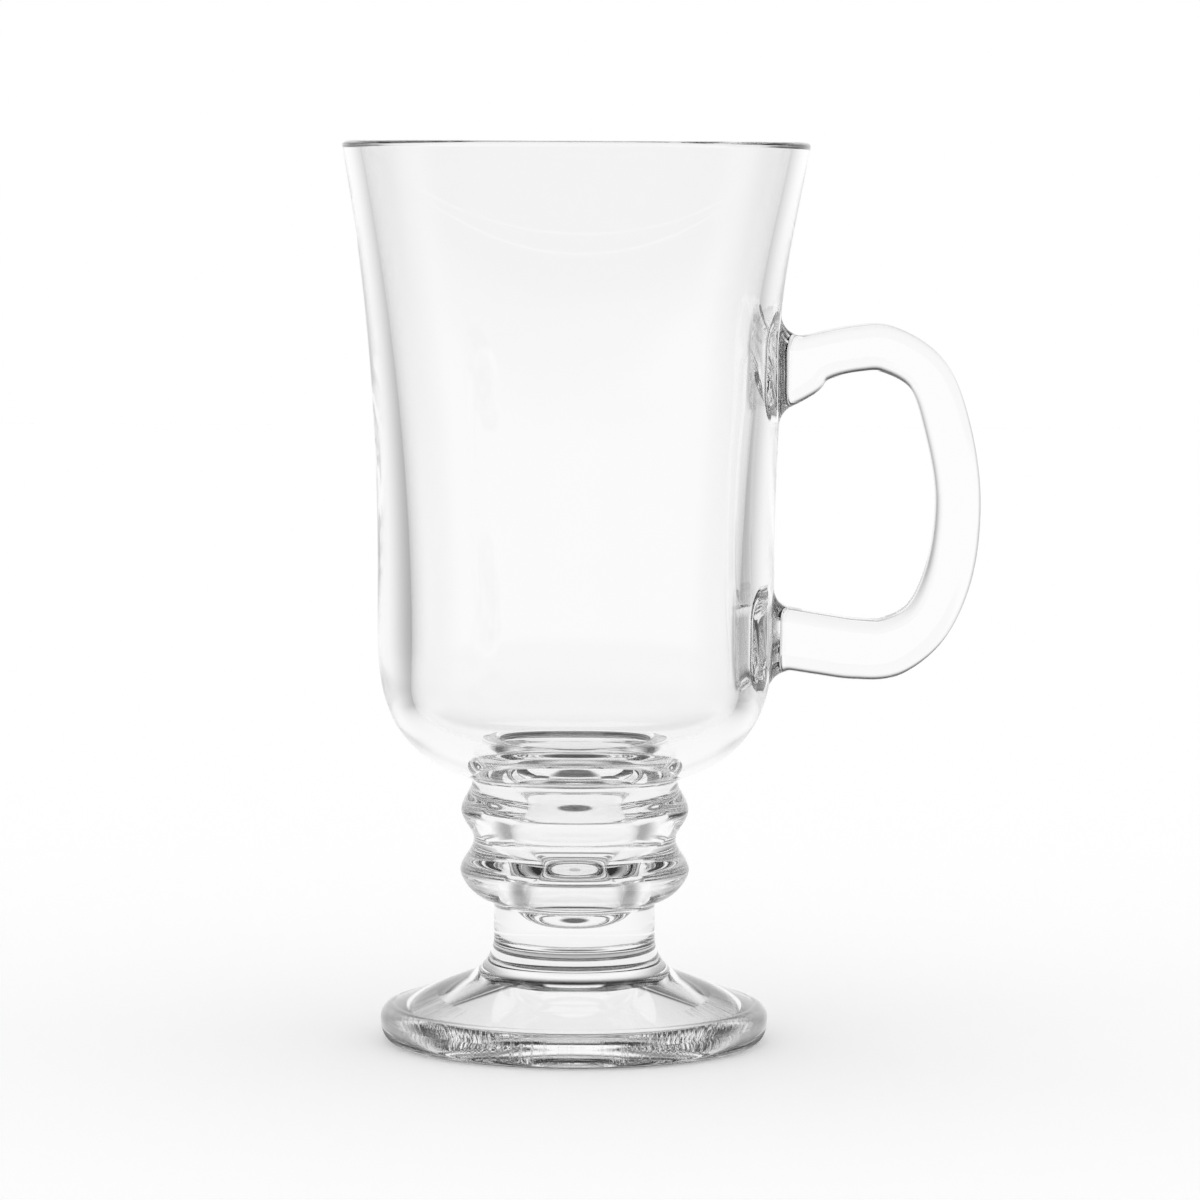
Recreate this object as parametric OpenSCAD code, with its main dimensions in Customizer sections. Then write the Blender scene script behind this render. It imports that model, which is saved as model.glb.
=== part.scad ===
// Footed glass mug for a hot drink with cream on top.
// A flared bowl stands on a stem with two knops and a dished round foot.
// A flat-sided strap handle joins the bowl's wall at two welds.
// The foot rests on the plane z = 0, the axis of the glass is the Z axis
// and the handle reaches out along +X.

/* [Overall] */
// Height from the table to the top of the lip
total_h = 147.3; // [120:0.1:180]

/* [Bowl] */
// Diameter across the outside of the lip
mouth_d = 76.6; // [62:0.1:94]
// Outside diameter of the straight part below the flare
waist_d = 64.8; // [52:0.1:80]
// Height of the straight part between belly and flare
straight_l = 6; // [2:0.5:16]
// Height of the rounded belly, from the joint with the stem up
belly_h = 25.7; // [20:0.1:32]
// How late the outside flare opens: 1 is a cone, more is a trumpet
flare_power = 2.2; // [1.2:0.1:3]
// How square the outside of the belly is: 2 is an ellipse
belly_power = 2.9; // [2.2:0.1:3.5]
// Thickness of the fire-polished lip
lip_t = 3; // [2:0.1:4]
// Height over which the lip rounds off, so that its top is nearly flat
lip_h = 0.8; // [0.5:0.1:2]
// Thickness of the wall at the straight part
wall_t = 5.6; // [3.5:0.1:8]
// Thickness of the glass between the joint with the stem and the floor's level
floor_t = 3.3; // [2.5:0.1:6]
// How much lower the hollow starts to turn in than the outside does
hollow_turn_drop = 8; // [4:0.5:12]
// How late the inside flare opens
hollow_power = 1.95; // [1.2:0.05:3]
// How square the rounded floor of the hollow is
floor_power = 2.6; // [2:0.1:3.5]

/* [Stem] */
// Diameter of the stem where the bowl sits on it
neck_d = 33.5; // [28:0.1:41]
// Height from the upper knop's widest line up to the bowl
neck_rise = 5.3; // [4:0.1:7]
// Diameter of the upper knop
upper_knop_d = 37.3; // [34.5:0.1:45]
// Distance between the widest lines of the two knops
knop_pitch = 9.9; // [8:0.1:12]
// Diameter at the bottom of the groove between the knops
groove_d = 33.2; // [28:0.1:36]
// Height of the groove above the lower knop's widest line
groove_rise = 5.2; // [4:0.1:6.5]
// Diameter of the lower knop
lower_knop_d = 37.6; // [34:0.1:45]
// Height of the lower knop's underside, up to its widest line
knop_under_l = 4.8; // [3.5:0.1:7]
// How square that underside is: 1 is a cone, 2 is an ellipse
knop_under_power = 1.5; // [1.2:0.1:2.4]
// Length of the plain shank from the foot to the lower knop
shank_l = 9.5; // [7.5:0.1:14]
// Diameter of the plain shank
shank_d = 26.4; // [22:0.1:30]
// Radius of the small curve between knop and shank
shank_round = 1.1; // [0.6:0.1:1.6]
// Radius of the curve by which the shank spreads out into the foot
spread_round = 7; // [4:0.1:9]
// How far above the joint with the foot that curve starts
spread_rise = 3.45; // [1:0.05:3.9]

/* [Well inside the stem] */
// Diameter of the well at its mouth in the floor of the bowl
well_mouth_d = 25; // [20:0.1:27]
// Diameter of the well just above its rounded end
well_end_d = 14.2; // [12:0.1:18]
// Thickness of the glass between the foot's joint and the well's lowest point
well_floor_t = 5.3; // [3:0.1:8]
// Corner radius at the well's end
well_round = 5; // [2:0.1:5.8]
// Radius of the rounded edge where the floor drops into the well
well_lip_round = 2; // [1:0.1:3]

/* [Foot] */
// Diameter of the foot
foot_d = 63.7; // [53:0.1:77]
// Height of the foot at its joint with the stem
foot_h = 13.8; // [11.5:0.1:17]
// Height at which the top cone starts to roll over into the edge
roll_h = 6.2; // [5:0.1:8]
// Width over which it rolls over
roll_w = 2.4; // [1.5:0.1:3.5]
// Height of the foot's widest line
edge_h = 3.7; // [2.5:0.1:4.5]
// Width by which the foot turns in below its widest line
under_roll_w = 2.25; // [1:0.05:4]
// Width of the flat ring that the foot rests on
rest_ring_w = 4.2; // [2:0.1:6]
// Height of the dished underside at its flat middle
dish_h = 6.8; // [4:0.1:8]
// Diameter of that flat middle
dish_flat_d = 26; // [16:0.1:32]

/* [Handle] */
// How far the handle stands out from the bowl's straight part
handle_out = 33.5; // [28:0.1:42]
// Height of the lower arm's centre line above the joint of bowl and stem
lower_arm_rise = 21.5; // [19:0.1:30]
// Distance between the centre lines of the lower and the upper arm
arm_gap = 49; // [41:0.5:58]
// Depth of the strap at the grip, measured in the plane of the handle
strap_depth = 7.3; // [6:0.1:10]
// Width of the strap across its flat sides
strap_w = 9; // [7:0.1:12]
// Radius of the strap's long edges
strap_round = 2.2; // [1:0.1:2.8]
// Radius of the weld's fillet on the strap's flat sides
weld_side_round = 2.8; // [1:0.1:3.2]
// Radius of the weld's fillet above and below the strap
weld_edge_round = 3.4; // [1:0.1:4]

/* [Hidden] */
$fn = 96;

// Number of straight steps in each long curve and in each round corner
curve_steps = 24;
corner_steps = 10;

// Heights from the table up
seam_h = foot_h;
knop_under_h = seam_h + shank_l;
lower_knop_h = knop_under_h + knop_under_l;
groove_h = lower_knop_h + groove_rise;
upper_knop_h = lower_knop_h + knop_pitch;
neck_h = upper_knop_h + neck_rise;
shoulder_h = neck_h + belly_h;
waist_h = shoulder_h + straight_l;
hollow_turn_h = shoulder_h - hollow_turn_drop;
well_floor_h = seam_h + well_floor_t;

mouth_r = mouth_d / 2;
waist_r = waist_d / 2;
neck_r = neck_d / 2;
hollow_r = waist_r - wall_t;
lip_r = lip_t / 2;
well_mouth_r = well_mouth_d / 2;
well_end_r = well_end_d / 2;
shank_r = shank_d / 2;
spread_cx = shank_r + spread_round;
spread_cz = seam_h + spread_rise;
seam_angle = asin(spread_rise / spread_round);
seam_r = spread_cx - spread_round * cos(seam_angle);
foot_r = foot_d / 2;

// A value between a and b at the share t of the way
function blend(a, b, t) = a + (b - a) * t;
// A list of shares from 0 to 1 in n steps
function steps(n) = [for (i = [0 : n]) i / n];
// A quarter or any other stretch of an ellipse, from angle a0 to a1
function arc(cx, cz, rx, rz, a0, a1, n) =
    [for (t = steps(n)) let (a = blend(a0, a1, t)) [cx + rx * cos(a), cz + rz * sin(a)]];
// A smooth swell from one radius and height to the next, level at both ends
function swell(r0, z0, r1, z1, n) =
    [for (t = steps(n)) [blend(r0, r1, (1 - cos(180 * t)) / 2), blend(z0, z1, t)]];
// Radius of a super-ellipse with half-axes a and b at the height dz from its centre
function super_r(a, b, dz, power) = a * pow(1 - pow(min(dz / b, 1), power), 1 / power);
// A stretch of a super-ellipse, from its widest point round to the angle a1
function super_arc(cx, cz, rx, rz, power, a1, n) =
    [
        for (t = steps(n))
            let (a = a1 * t)
            [cx + rx * pow(cos(a), 2 / power), cz + rz * pow(sin(a), 2 / power)]
    ];
// Height from the centre of a super-ellipse at which it has the radius r
function super_z(a, b, r, power) = b * pow(1 - pow(r / a, power), 1 / power);

// Lip: half an ellipse that leans out as the flaring wall does where it ends,
// so that it runs smoothly into the wall on both sides.
lip_lean = atan((mouth_r - waist_r) * flare_power / (total_h - waist_h));
lip_shift = lip_h * tan(lip_lean);
lip_cx = mouth_r - norm([lip_r, lip_shift]);
lip_r_out = lip_cx + lip_r;
lip_r_in = lip_cx - lip_r;
lip_z = total_h - lip_h;
lip_round = [
    for (t = steps(curve_steps))
        let (a = 180 * t)
        [lip_cx + lip_r * cos(a) + lip_shift * sin(a), lip_z + lip_h * sin(a)]
];

// Outside of the bowl: radius at the height z
belly_b = belly_h / pow(1 - pow(neck_r / waist_r, belly_power), 1 / belly_power);
function outside_r(z) =
    z > waist_h ? waist_r + (lip_r_out - waist_r) * pow((z - waist_h) / (lip_z - waist_h), flare_power)
    : z > shoulder_h ? waist_r
    : super_r(waist_r, belly_b, shoulder_h - z, belly_power);

// Inside of the bowl above its turn: radius at the height z
function inside_r(z) =
    hollow_r + (lip_r_in - hollow_r) * pow((z - hollow_turn_h) / (lip_z - hollow_turn_h), hollow_power);

// The well is a tapered hole; its lip is a round between the floor and the taper.
floor_b = hollow_turn_h - neck_h - floor_t;
well_edge_r = well_mouth_r + well_lip_round;
well_edge_z = hollow_turn_h - super_z(hollow_r, floor_b, well_edge_r, floor_power);
well_top_z = well_edge_z - well_lip_round;
well_end_z = well_floor_h + well_round;
function well_r(z) = blend(well_end_r, well_mouth_r, (z - well_end_z) / (well_top_z - well_end_z));

outside_flare = [for (t = steps(curve_steps)) let (z = blend(waist_h, lip_z, t)) [outside_r(z), z]];
outside_belly =
    [for (t = steps(curve_steps)) let (z = shoulder_h - belly_h * sin(90 * t)) [outside_r(z), z]];
inside_flare =
    [for (t = steps(curve_steps)) let (z = blend(lip_z, hollow_turn_h, t)) [inside_r(z), z]];
// The floor's points follow an angle, so that they lie close where it curves most.
floor_end_angle = acos(pow(well_edge_r / hollow_r, floor_power / 2));
inside_floor = super_arc(0, hollow_turn_h, hollow_r, -floor_b, floor_power, floor_end_angle, curve_steps);

function but_first(list) = [for (i = [1 : len(list) - 1]) list[i]];
function backwards(list) = [for (i = [len(list) - 1 : -1 : 0]) list[i]];

// The bowl, from the joint with the stem up the outside, over the lip and down inside
module bowl_section() {
    polygon(concat(
        [[well_r(neck_h), neck_h]],
        backwards(outside_belly),
        outside_flare,
        but_first(lip_round),
        but_first(inside_flare),
        but_first(inside_floor),
        but_first(arc(well_edge_r, well_top_z, -well_lip_round, well_lip_round, 90, 0, corner_steps))
    ));
}

module bowl() {
    color([0.93, 0.95, 0.95, 0.5])
        rotate_extrude() bowl_section();
}

// The stem: two knops with a groove between them, then a plain shank that starts to
// spread out just above the foot. The well reaches down into the shank.
knop_under_r = shank_r + shank_round;
stem_outline = concat(
    swell(neck_r, neck_h, upper_knop_d / 2, upper_knop_h, corner_steps),
    but_first(swell(upper_knop_d / 2, upper_knop_h, groove_d / 2, groove_h, corner_steps)),
    but_first(swell(groove_d / 2, groove_h, lower_knop_d / 2, lower_knop_h, corner_steps)),
    but_first(super_arc(knop_under_r, lower_knop_h, lower_knop_d / 2 - knop_under_r,
        -knop_under_l, knop_under_power, 90, corner_steps)),
    but_first(arc(knop_under_r, knop_under_h - shank_round, -shank_round, shank_round,
        90, 0, corner_steps)),
    arc(spread_cx, spread_cz, spread_round, spread_round, 180, 180 + seam_angle, corner_steps)
);
well_outline = concat(
    arc(well_end_r - well_round, well_end_z, well_round, -well_round, 90, 0, corner_steps),
    [[well_r(neck_h), neck_h]]
);

module stem() {
    color([0.88, 0.90, 0.90, 0.6])
        rotate_extrude()
            polygon(concat(
                stem_outline,
                [[0, seam_h], [0, well_floor_h]],
                well_outline
            ));
}

// The foot: a dished disc. The shank's curve runs on out into the top cone, which
// rolls over the edge; below, a flat ring surrounds the dished underside.
// The cone is the line from the roll's start that is tangent to the curve.
roll_r = foot_r - roll_w;
to_spread = [roll_r - spread_cx, spread_cz - roll_h];
cone_angle = atan2(to_spread[1], to_spread[0]) - asin(spread_round / norm(to_spread));
rest_outer_r = foot_r - under_roll_w;
rest_inner_r = rest_outer_r - rest_ring_w;
foot_outline = concat(
    [[0, seam_h]],
    arc(spread_cx, spread_cz, spread_round, spread_round, 180 + seam_angle, 270 - cone_angle, corner_steps),
    arc(roll_r, edge_h, roll_w, roll_h - edge_h, 90, 0, corner_steps),
    but_first(arc(rest_outer_r, edge_h, under_roll_w, -edge_h, 0, 90, corner_steps)),
    [[rest_inner_r, 0], [dish_flat_d / 2, dish_h], [0, dish_h]]
);

module foot() {
    color([0.90, 0.92, 0.92, 0.5])
        rotate_extrude() polygon(foot_outline);
}

// The handle's centre line runs through stations. Each one holds the share of the way
// from the bowl's wall out to the grip, the share of the way from the lower arm up to
// the upper arm, and the strap's depth there as a share of its depth at the grip.
station_shares = [
    [-0.22, 0.880, 1.66],
    [-0.06, 0.900, 1.60],
    [0.12, 0.937, 1.40],
    [0.24, 0.973, 1.08],
    [0.44, 1.000, 1.04],
    [0.62, 0.998, 1.05],
    [0.83, 0.915, 0.99],
    [0.94, 0.740, 1.02],
    [1.00, 0.515, 1.00],
    [0.965, 0.280, 1.04],
    [0.84, 0.098, 1.09],
    [0.64, 0.008, 1.30],
    [0.45, 0.000, 1.35],
    [0.26, 0.015, 1.36],
    [0.10, 0.030, 1.37],
    [-0.08, 0.045, 1.40],
    [-0.24, 0.055, 1.44],
];
grip_r = waist_r + handle_out - strap_depth / 2;
lower_arm_h = neck_h + lower_arm_rise;
stations = [
    for (s = station_shares)
        [blend(waist_r, grip_r, s[0]), lower_arm_h + arm_gap * s[1], s[2] * strap_depth]
];

// A smooth curve through four stations in a row: where it is at the share t
// between the second and the third, and which way it heads there
function spline(a, b, c, d, t) =
    ((2 * b) + (c - a) * t + (2 * a - 5 * b + 4 * c - d) * t * t + (3 * b - a - 3 * c + d) * t * t * t) / 2;
function spline_way(a, b, c, d, t) =
    ((c - a) + 2 * (2 * a - 5 * b + 4 * c - d) * t + 3 * (3 * b - a - 3 * c + d) * t * t) / 2;

// Rings round the strap: a few in each span of the grip, and more in the first and
// the last span, where the welds curve out to the wall
span_steps = 4;
weld_steps = 12;
span_count = len(stations) - 3;
ring_spots = concat(
    [
        for (i = [0 : span_count - 1])
            let (n = i == 0 || i == span_count - 1 ? weld_steps : span_steps)
            for (j = [0 : n - 1]) [i, j / n]
    ],
    [[span_count - 1, 1]]
);
ring_count = len(ring_spots);
function ring_place(spot) =
    let (i = spot[0]) spline(stations[i], stations[i + 1], stations[i + 2], stations[i + 3], spot[1]);
function ring_way(spot) =
    let (i = spot[0]) spline_way(stations[i], stations[i + 1], stations[i + 2], stations[i + 3], spot[1]);

// How far a fillet of the given radius stands out at a gap from the wall
function fillet_rise(round, gap) =
    let (left = round - min(max(gap, 0), round)) round - sqrt(round * round - left * left);

// Points round the strap's section: a rectangle with rounded corners. Each point also
// moves out by the weld's fillet, in the way the section's edge faces there.
edge_steps = 3;
function strap_point(place, outward, q, j) =
    let (
        a = 90 * (q + j / edge_steps),
        side = [q == 0 || q == 3 ? 1 : -1, q < 2 ? 1 : -1],
        in_plane = side[0] * (place[2] / 2 - strap_round) + strap_round * cos(a),
        across = side[1] * (strap_w / 2 - strap_round) + strap_round * sin(a),
        x = place[0] + outward[0] * in_plane,
        z = place[1] + outward[1] * in_plane,
        gap = norm([x, across]) - outside_r(z),
        rise = fillet_rise(blend(weld_edge_round, weld_side_round, abs(sin(a))), gap)
    )
    [x + outward[0] * rise * cos(a), across + rise * sin(a), z + outward[1] * rise * cos(a)];
function strap_ring(spot) =
    let (
        way = ring_way(spot),
        heading = [way[0], way[1]] / norm([way[0], way[1]]),
        outward = [-heading[1], heading[0]]
    )
    [for (q = [0 : 3], j = [0 : edge_steps]) strap_point(ring_place(spot), outward, q, j)];

ring_size = 4 * (edge_steps + 1);
strap_points = [for (spot = ring_spots, p = strap_ring(spot)) p];
strap_faces = concat(
    [[for (j = [ring_size - 1 : -1 : 0]) j]],
    [[for (j = [0 : ring_size - 1]) (ring_count - 1) * ring_size + j]],
    [
        for (k = [0 : ring_count - 2], j = [0 : ring_size - 1])
            let (
                here = k * ring_size + j,
                beside = k * ring_size + (j + 1) % ring_size
            )
            each [[here, beside, beside + ring_size], [here, beside + ring_size, here + ring_size]]
    ]
);

// The whole space inside the bowl's outer wall, for cutting the handle's ends to it
module bowl_envelope() {
    rotate_extrude()
        polygon(concat(
            [[0, neck_h]],
            backwards(outside_belly),
            outside_flare,
            [[0, lip_z]]
        ));
}

module handle() {
    color([0.95, 0.97, 0.97, 0.5])
        difference() {
            polyhedron(strap_points, strap_faces);
            bowl_envelope();
        }
}

bowl();
stem();
foot();
handle();
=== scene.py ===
# %% [markdown]
# # A footed glass mug for a hot drink with cream
#
# The real mug is clear glass through and through: a flared bowl, a stem with two knops,
# a dished foot and a strap handle, made apart and joined while hot.
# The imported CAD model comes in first. It fixes where everything is and how big it is.
# Everything after this cell gives those four pieces surfaces fine enough for glass,
# because a lens shows every flat facet that a painted surface would hide.

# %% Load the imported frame
import math

import bpy
import numpy as np
from mathutils import Matrix, Vector


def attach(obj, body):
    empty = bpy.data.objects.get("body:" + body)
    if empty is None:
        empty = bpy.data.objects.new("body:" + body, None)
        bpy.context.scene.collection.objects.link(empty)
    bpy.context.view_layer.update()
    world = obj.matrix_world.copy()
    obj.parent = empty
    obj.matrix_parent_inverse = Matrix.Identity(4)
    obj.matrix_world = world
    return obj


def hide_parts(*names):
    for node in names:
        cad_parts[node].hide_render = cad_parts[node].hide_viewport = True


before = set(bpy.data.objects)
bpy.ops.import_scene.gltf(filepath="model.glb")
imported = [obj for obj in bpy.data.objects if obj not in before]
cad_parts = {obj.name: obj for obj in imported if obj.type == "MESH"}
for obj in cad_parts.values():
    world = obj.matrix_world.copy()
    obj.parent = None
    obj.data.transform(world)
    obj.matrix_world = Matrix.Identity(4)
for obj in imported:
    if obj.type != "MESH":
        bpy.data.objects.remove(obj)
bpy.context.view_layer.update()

# %% [markdown]
# ## Sizes
#
# The CAD source holds these same sizes. A glass mug is turned round one axis, so nearly
# all of them are heights above the table or radii from that axis, in millimetres.
# They are kept together, because the hollow, the wall and the handle lean on each other.
# SMOOTH is how many points a curve gets before it is cut into even lengths.

# %% Sizes of the mug, in millimetres
MM = 0.001
TOTAL_H = 147.3
MOUTH_R, WAIST_R, NECK_R = 38.3, 32.4, 16.75
NECK_H, SHOULDER_H, WAIST_H = 43.3, 69.0, 75.0
FLARE_POWER, BELLY_POWER = 2.2, 2.9
LIP_R, LIP_H = 1.5, 0.8
SMOOTH = 2000
HOLLOW_R, HOLLOW_TURN_H = 26.8, 61.0
HOLLOW_POWER, FLOOR_POWER = 1.95, 2.6
FLOOR_H = 46.6
WELL_MOUTH_R, WELL_END_R = 12.5, 7.1
WELL_LIP_ROUND, WELL_ROUND = 2.0, 5.0
WELL_FLOOR_H = 19.1
UPPER_KNOP_R, GROOVE_R, LOWER_KNOP_R = 18.65, 16.6, 18.8
UPPER_KNOP_H, GROOVE_H, LOWER_KNOP_H, KNOP_UNDER_H = 38.0, 33.3, 28.1, 23.3
KNOP_UNDER_POWER = 1.5
SHANK_R, SHANK_ROUND = 13.2, 1.1
SPREAD_ROUND, SPREAD_H, SEAM_H = 7.0, 17.25, 13.8
FOOT_R = 31.85
ROLL_H, ROLL_W, EDGE_H = 6.2, 2.4, 3.7
UNDER_ROLL_W, REST_RING_W = 2.25, 4.2
DISH_H, DISH_FLAT_R = 6.8, 13.0
print("height", TOTAL_H, "mouth", 2 * MOUTH_R, "waist", 2 * WAIST_R, "foot", 2 * FOOT_R)

# %% [markdown]
# ## Outlines
#
# A turned shape is one outline swept round the axis. Each outline below is a list of
# points (radius, height) that runs with the glass on its left, so that the normal
# always points out of the glass, to the right of the way the outline runs.


# %% Arcs, swells and the bowl's two walls
def arc(cx, cz, rx, rz, start, end, count=200):
    """Points of an ellipse: centre plus half-axis times cosine and sine of an angle."""
    a = np.radians(np.linspace(start, end, count))
    return np.stack([cx + rx * np.cos(a), cz + rz * np.sin(a)], 1)


def super_arc(cx, cz, rx, rz, power, start, end, count=200):
    """A super-ellipse: the cosine and the sine are raised to 2 over `power` first."""
    a = np.radians(np.linspace(start, end, count))
    share = np.abs(np.stack([np.cos(a), np.sin(a)], 1)) ** (2 / power)
    return np.array([cx, cz]) + np.array([rx, rz]) * share


def swell(r0, z0, r1, z1, count=200):
    """From one radius to another by half a cosine wave, level in radius at both ends."""
    t = np.linspace(0, 1, count)
    return np.stack([r0 + (r1 - r0) * (1 - np.cos(math.pi * t)) / 2, z0 + (z1 - z0) * t], 1)


LIP_LEAN = math.atan((MOUTH_R - WAIST_R) * FLARE_POWER / (TOTAL_H - WAIST_H))
LIP_SHIFT = LIP_H * math.tan(LIP_LEAN)
LIP_C = (MOUTH_R - math.hypot(LIP_R, LIP_SHIFT), TOTAL_H - LIP_H)
LIP_OUT, LIP_IN = (LIP_C[0] + LIP_R, LIP_C[1]), (LIP_C[0] - LIP_R, LIP_C[1])
BELLY_H = SHOULDER_H - NECK_H
BELLY_B = BELLY_H / (1 - (NECK_R / WAIST_R) ** BELLY_POWER) ** (1 / BELLY_POWER)
FLOOR_B = HOLLOW_TURN_H - FLOOR_H


def outer_radius(z):
    """Outside of the bowl: a power curve above the waist, a super-ellipse in the belly."""
    rise = np.clip((z - WAIST_H) / (LIP_OUT[1] - WAIST_H), 0, 1)
    drop = np.clip((SHOULDER_H - z) / BELLY_B, 0, 1)
    belly = (1 - drop ** BELLY_POWER) ** (1 / BELLY_POWER)
    return WAIST_R * belly + (LIP_OUT[0] - WAIST_R) * rise ** FLARE_POWER


def inner_radius(z):
    """Inside of the bowl: a power curve down to its turn, then a super-ellipse floor."""
    rise = np.clip((z - HOLLOW_TURN_H) / (LIP_IN[1] - HOLLOW_TURN_H), 0, 1)
    drop = np.clip((HOLLOW_TURN_H - z) / FLOOR_B, 0, 1)
    floor = (1 - drop ** FLOOR_POWER) ** (1 / FLOOR_POWER)
    return HOLLOW_R * floor + (LIP_IN[0] - HOLLOW_R) * rise ** HOLLOW_POWER


WELL_EDGE_R = WELL_MOUTH_R + WELL_LIP_ROUND
WELL_EDGE_H = HOLLOW_TURN_H - FLOOR_B * (1 - (WELL_EDGE_R / HOLLOW_R) ** FLOOR_POWER) ** (1 / FLOOR_POWER)
WELL_TOP_H = WELL_EDGE_H - WELL_LIP_ROUND
WELL_END_H = WELL_FLOOR_H + WELL_ROUND
well_share = (NECK_H - WELL_END_H) / (WELL_TOP_H - WELL_END_H)
WELL_NECK_R = WELL_END_R + (WELL_MOUTH_R - WELL_END_R) * well_share
print("well at the joint with the stem: radius", round(WELL_NECK_R, 2))

# %% [markdown]
# The points of an outline are spaced evenly by length, more closely on the small curves
# than on the long walls. The bowl is not a perfect circle near the handle. A hot handle pulls
# the wall in a little above its upper end, as the photographed outline shows, so the
# bowl's radius is drawn in there by about a millimetre.


# %% Points spaced evenly along an outline
def even(points, step):
    """The outline cut into equal lengths of about `step`, by its length so far."""
    length = np.concatenate([[0], np.cumsum(np.hypot(*np.diff(points, axis=0).T))])
    want = np.linspace(0, length[-1], max(int(math.ceil(length[-1] / step)), 1) + 1)
    return np.stack([np.interp(want, length, points[:, i]) for i in (0, 1)], 1)


def normals_along(points):
    """Unit normals to the right of the way the outline runs: (dz, -dr) over their length."""
    way = np.gradient(points, axis=0)
    out = np.stack([way[:, 1], -way[:, 0]], 1)
    return out / np.linalg.norm(out, axis=1, keepdims=True)


DRAW_IN, DRAW_START_H, DRAW_PEAK_H, DRAW_LIP_SHARE = 1.2, 101.0, 121.0, 0.35


def ease(t):
    """0 to 1 with level ends: 3 t squared minus 2 t cubed, for t kept within 0 and 1."""
    t = np.clip(t, 0, 1)
    return t * t * (3 - 2 * t)


def draw_in(theta, z):
    """How far the wall stands in: a hump in height times a hump round the axis."""
    up = ease((z - DRAW_START_H) / (DRAW_PEAK_H - DRAW_START_H))
    down = 1 - (1 - DRAW_LIP_SHARE) * ease((z - DRAW_PEAK_H) / (TOTAL_H - DRAW_PEAK_H))
    return DRAW_IN * up * down * ((1 + np.cos(theta)) / 2) ** 4


# %% [markdown]
# ## From outlines to surfaces
#
# Every face carries exact normals, worked out from the formula and not from the facets.
# Light that crosses glass bends by the normal, so this is what makes the refractions
# smooth. Grids are laid side by side, then points that fall together become one, which
# closes the seams and the poles and leaves a watertight piece.


# %% Grids and how they are sewn into one closed piece
LEAN_UP, LEAN_ROUND = 0.5, 0.01


def turned(points, columns, lean=None):
    """An outline swept round the axis: radius times cosine and sine of the turn, and
    the height. `lean` takes off the bowl's draw-in. Returns points and normals in rows."""
    theta = np.linspace(0, 2 * math.pi, columns, endpoint=False)
    r, z = points[:, :1], points[:, 1:]
    less = lean(theta[None], z) if lean else 0 * theta[None]
    place = np.stack([(r - less) * np.cos(theta), (r - less) * np.sin(theta), z + 0 * theta], 2)
    n = normals_along(points)
    normal = np.stack([n[:, :1] * np.cos(theta), n[:, :1] * np.sin(theta), n[:, 1:] + 0 * theta], 2)
    if lean:
        up, round_ = LEAN_UP, LEAN_ROUND
        tilt = (lean(theta[None], z + up) - lean(theta[None], z - up)) / (2 * up)
        turn = (lean(theta[None] + round_, z) - lean(theta[None] - round_, z)) / (2 * round_)
        across = np.stack([-np.sin(theta), np.cos(theta)], 1)[None] * (turn / (r - less))[..., None]
        normal[..., 2] += tilt * n[:, :1]
        normal[..., :2] += across * n[:, :1, None]
        normal /= np.linalg.norm(normal, axis=2, keepdims=True)
    return place, normal


def grid_faces(rows, columns, loops=True):
    """Four-cornered faces of a grid: each joins (i, j), (i, j+1), (i+1, j+1), (i+1, j)."""
    across = columns if loops else columns - 1
    i, j = np.meshgrid(np.arange(rows - 1), np.arange(across), indexing="ij")
    k = (j + 1) % columns
    return np.stack([i * columns + j, i * columns + k, (i + 1) * columns + k, (i + 1) * columns + j], 2)


def sheet(place, normal, slot, loops=True, hole=None):
    """One grid as flat lists, less the faces inside `hole` (a mask over the faces)."""
    faces = grid_faces(place.shape[0], place.shape[1], loops)
    faces = faces[~hole] if hole is not None else faces.reshape(-1, 4)
    return place.reshape(-1, 3), normal.reshape(-1, 3), faces, slot


GRAIN = 0.0001


def sew(name, sheets, materials):
    """Points closer than GRAIN millimetres become one, faces lose corners that fell
    together, and every corner keeps the exact normal of its own sheet."""
    points = np.concatenate([s[0] for s in sheets])
    normals = np.concatenate([s[1] for s in sheets])
    start = np.cumsum([0] + [len(s[0]) for s in sheets])
    faces = np.concatenate([s[2] + start[n] for n, s in enumerate(sheets)])
    slots = np.concatenate([np.full(len(s[2]), s[3]) for s in sheets])
    keys = np.round(points / GRAIN).astype(np.int64)
    _, first, merged = np.unique(keys, axis=0, return_index=True, return_inverse=True)
    corner = merged.reshape(-1)[faces]
    kept = corner != np.roll(corner, -1, axis=1)
    whole = kept.sum(1) > 2
    corner, kept, faces, slots = corner[whole], kept[whole], faces[whole], slots[whole]
    count = kept.sum(1)
    mesh = bpy.data.meshes.new(name)
    mesh.vertices.add(len(first))
    mesh.vertices.foreach_set("co", (points[first] * MM).astype(np.float32).ravel())
    mesh.loops.add(int(count.sum()))
    mesh.loops.foreach_set("vertex_index", corner[kept].astype(np.int32))
    mesh.polygons.add(len(count))
    mesh.polygons.foreach_set("loop_start", (np.cumsum(count) - count).astype(np.int32))
    mesh.polygons.foreach_set("material_index", slots.astype(np.int32))
    mesh.polygons.foreach_set("use_smooth", np.ones(len(count), bool))
    for material in materials:
        mesh.materials.append(material)
    mesh.update(calc_edges=True)
    mesh.validate()
    mesh.normals_split_custom_set(normals[faces[kept]])
    piece = bpy.data.objects.new(name, mesh)
    bpy.context.scene.collection.objects.link(piece)
    open_edges = edges_used_once(corner, kept)
    print(name, len(first), "points,", int((count - 2).sum()), "triangles, open edges:", open_edges)
    return piece


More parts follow.
